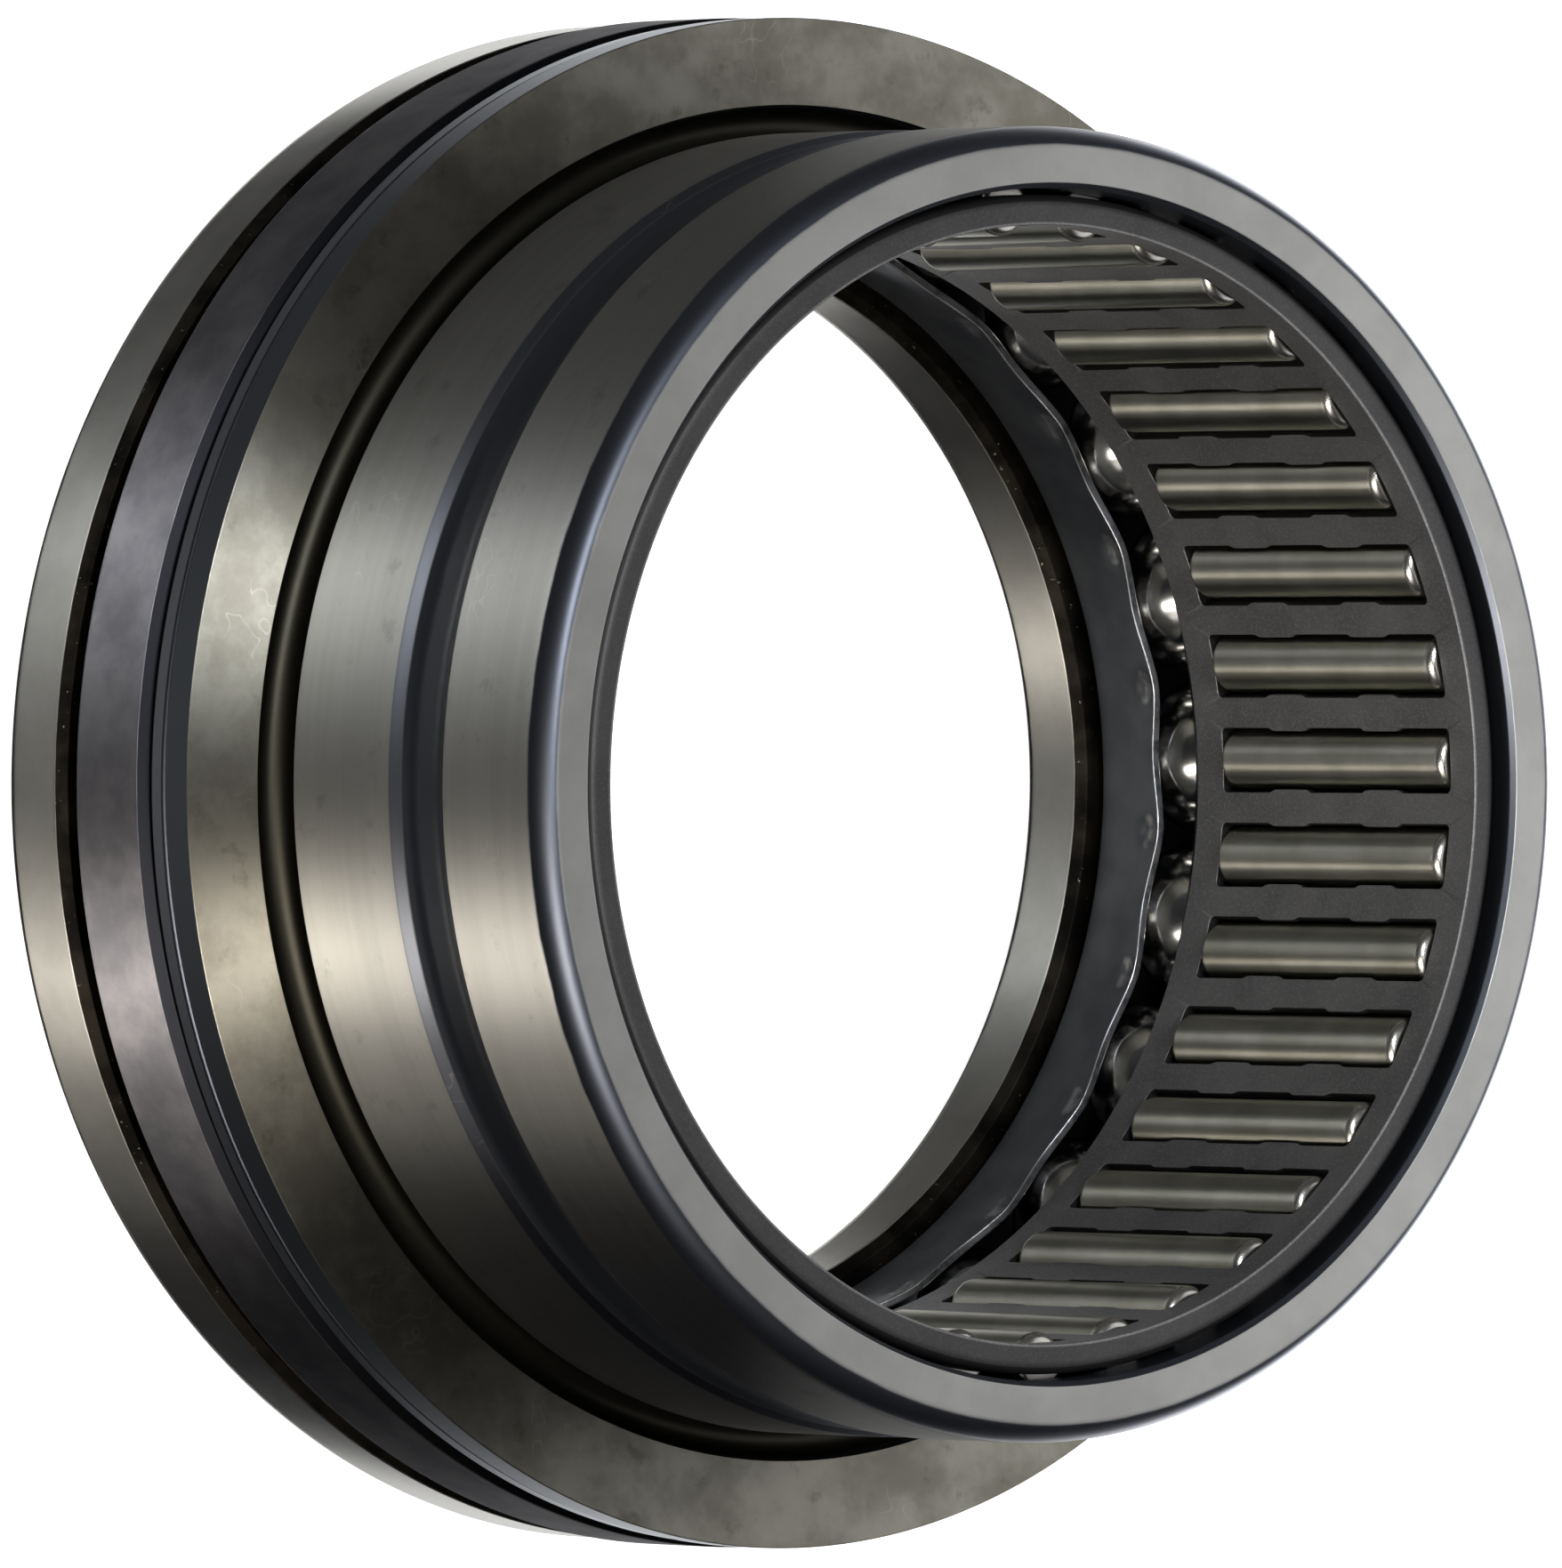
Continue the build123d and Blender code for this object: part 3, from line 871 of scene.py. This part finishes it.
tilt = math.radians(38.82)      # between the line of sight and the bearing's axis
swing = math.radians(-2.7)     # of the line of sight about that axis
roll = math.radians(-0.34)
sight_distance = 1.2
lens = 497.0
aim_shift = (0.84 * MM, 0.05 * MM)

away = Vector((math.cos(swing), math.sin(swing), 0))
beside = Vector((-math.sin(swing), math.cos(swing), 0))
axis = Vector((0, 0, 1))
level = away * math.cos(tilt) + axis * math.sin(tilt)
back = axis * math.cos(tilt) - away * math.sin(tilt)
right = level * math.cos(roll) - beside * math.sin(roll)
up = level * math.sin(roll) + beside * math.cos(roll)
target = axis * flange_face_z * MM - right * aim_shift[0] - up * aim_shift[1]

camera_data = bpy.data.cameras.new("camera")
camera_data.lens = lens
camera_data.sensor_width = 36
camera_data.clip_end = 20
camera = bpy.data.objects.new("camera", camera_data)
camera_turn = Matrix((right, up, back)).transposed().to_4x4()
camera.matrix_world = Matrix.Translation(target + back * sight_distance) @ camera_turn
bpy.context.scene.collection.objects.link(camera)
bpy.context.scene.camera = camera


# ---------------------------------------------------------------- light

def mirrored(azimuth, lean):
    """Where a light has to be for a surface to mirror it along the line of sight. The surface's
    normal leans from the axis by lean degrees, towards the side that is azimuth degrees round
    from the sight's away side."""
    a, t = math.radians(azimuth), math.radians(lean)
    normal = axis * math.cos(t) + (away * math.cos(a) + beside * math.sin(a)) * math.sin(t)
    return (2 * normal.dot(back) * normal - back).normalized()


def soft_box(graph, direction, middle, upright, half_size, edge, strength, tint):
    """A soft-edged rectangle of light on the sky. half_size is in degrees, across and along."""
    side = upright.cross(middle).normalized()
    top = middle.cross(side).normalized()
    ahead = dotted(graph, direction, middle)
    across = (dotted(graph, direction, side) / ahead).math("ABSOLUTE")
    along = (dotted(graph, direction, top) / ahead).math("ABSOLUTE")
    wide, tall = (math.tan(math.radians(s)) for s in half_size)
    mask = across.step(wide * (1 + edge), wide * (1 - edge)) \
        * along.step(tall * (1 + edge), tall * (1 - edge)) * ahead.step(0.0, 0.05)
    return graph.mix(mask, (0.0, 0.0, 0.0), tuple(strength * c for c in tint))


def dotted(graph, direction, vector):
    """How far a direction goes along a vector."""
    return graph.add("VectorMath", {"operation": "DOT_PRODUCT"}, {0: direction, 1: tuple(vector)},
                     output=1)


def sky():
    """A dim studio with soft boxes, seen only in reflections; the camera sees a pale backdrop."""
    world = bpy.data.worlds.new("studio")
    bpy.context.scene.world = world
    world.use_nodes = True
    graph = Graph(world.node_tree)
    direction = graph.add("TexCoord", output=0)
    boxes = [
        # azimuth, lean, half size, edge, strength, tint
        (195, 43, (5.6, 16), 0.3, 17.0, (1.0, 0.94, 0.85)),
        (163.5, 30, (3.4, 12), 0.3, 30.0, (0.97, 0.99, 1.0)),
        (180, 90, (24, 10), 0.5, 0.2, (1.0, 0.98, 0.92)),
        (0, 0, (20, 18), 0.5, 0.12, (1.0, 1.0, 1.0)),
        (207, 43, (7, 16), 0.6, 1.6, (1.0, 0.95, 0.88)),
        (0, 37, (32, 17), 0.4, 5.0, (1.0, 1.0, 1.0)),
    ]
    dim, less_dim = (0.012, 0.012, 0.014), (0.075, 0.075, 0.075)
    backdrop_edge, backdrop_inside = (math.cos(math.radians(a)) for a in (34, 24))
    light = graph.mix(dotted(graph, direction, beside).step(-0.2, 0.9), dim, less_dim)
    backdrop = dotted(graph, direction, -back).step(backdrop_edge, backdrop_inside)
    light = graph.mix(backdrop, light, (2.0, 2.0, 2.0))
    for azimuth, lean, half_size, edge, strength, tint in boxes:
        box = soft_box(graph, direction, mirrored(azimuth, lean), axis, half_size, edge,
                       strength, tint)
        light = graph.add("Mix", {"data_type": "RGBA", "blend_type": "ADD"},
                          {0: 1.0, 6: light, 7: box}, output=2)
    seen = graph.add("LightPath")
    light = graph.mix(seen, light, (1.0, 1.0, 1.0))
    graph.add("OutputWorld", None, {"Surface": graph.add("Background", None, {"Color": light})})


sky()

# A soft box close to the front face, so that the face is brighter on the side away from the camera
key_data = bpy.data.lights.new("key", "AREA")
key_data.shape = "RECTANGLE"
key_data.size, key_data.size_y = 0.1, 0.14
key_brightness = 0.9
key_gap, key_shift = 0.12, 0.042        # metres, from the front face and to the side
key_data.energy = key_brightness * math.pi * key_data.size * key_data.size_y
key = bpy.data.objects.new("key", key_data)
toward = mirrored(0, 0)
key_side = beside.cross(toward).normalized()
key_spot = axis * front_z * MM + toward * key_gap + key_side * key_shift
key_turn = Matrix((key_side, toward.cross(key_side), toward)).transposed().to_4x4()
key.matrix_world = Matrix.Translation(key_spot) @ key_turn
key.visible_camera = False
bpy.context.scene.collection.objects.link(key)

floor_mesh = bpy.data.meshes.new("floor")
floor_reach = 4.0
floor_z = -0.05 * MM        # just clear of the washer's rear face
floor_mesh.from_pydata(
    [(-floor_reach, -floor_reach, floor_z), (floor_reach, -floor_reach, floor_z),
     (floor_reach, floor_reach, floor_z), (-floor_reach, floor_reach, floor_z)],
    [], [(0, 1, 2, 3)])
floor = bpy.data.objects.new("floor", floor_mesh)
bpy.context.scene.collection.objects.link(floor)
floor_paint = bpy.data.materials.new("floor_paint")
floor_paint.use_nodes = True
floor_graph = Graph(floor_paint.node_tree)
floor_light = floor_graph.add("BsdfPrincipled", None, {
    "Base Color": (0.8, 0.8, 0.8, 1), "Roughness": 0.9,
    "Emission Color": (1, 1, 1, 1), "Emission Strength": 0.9})
from_below = floor_graph.add("NewGeometry", output="Backfacing")
floor_light = floor_graph.add("MixShader", None, {
    0: from_below, 1: floor_light, 2: floor_graph.add("BsdfTransparent")})
floor_graph.add("OutputMaterial", None, {"Surface": floor_light})
floor_mesh.materials.append(floor_paint)
floor.visible_glossy = False
floor.visible_shadow = False

bpy.context.scene.view_settings.view_transform = "Standard"
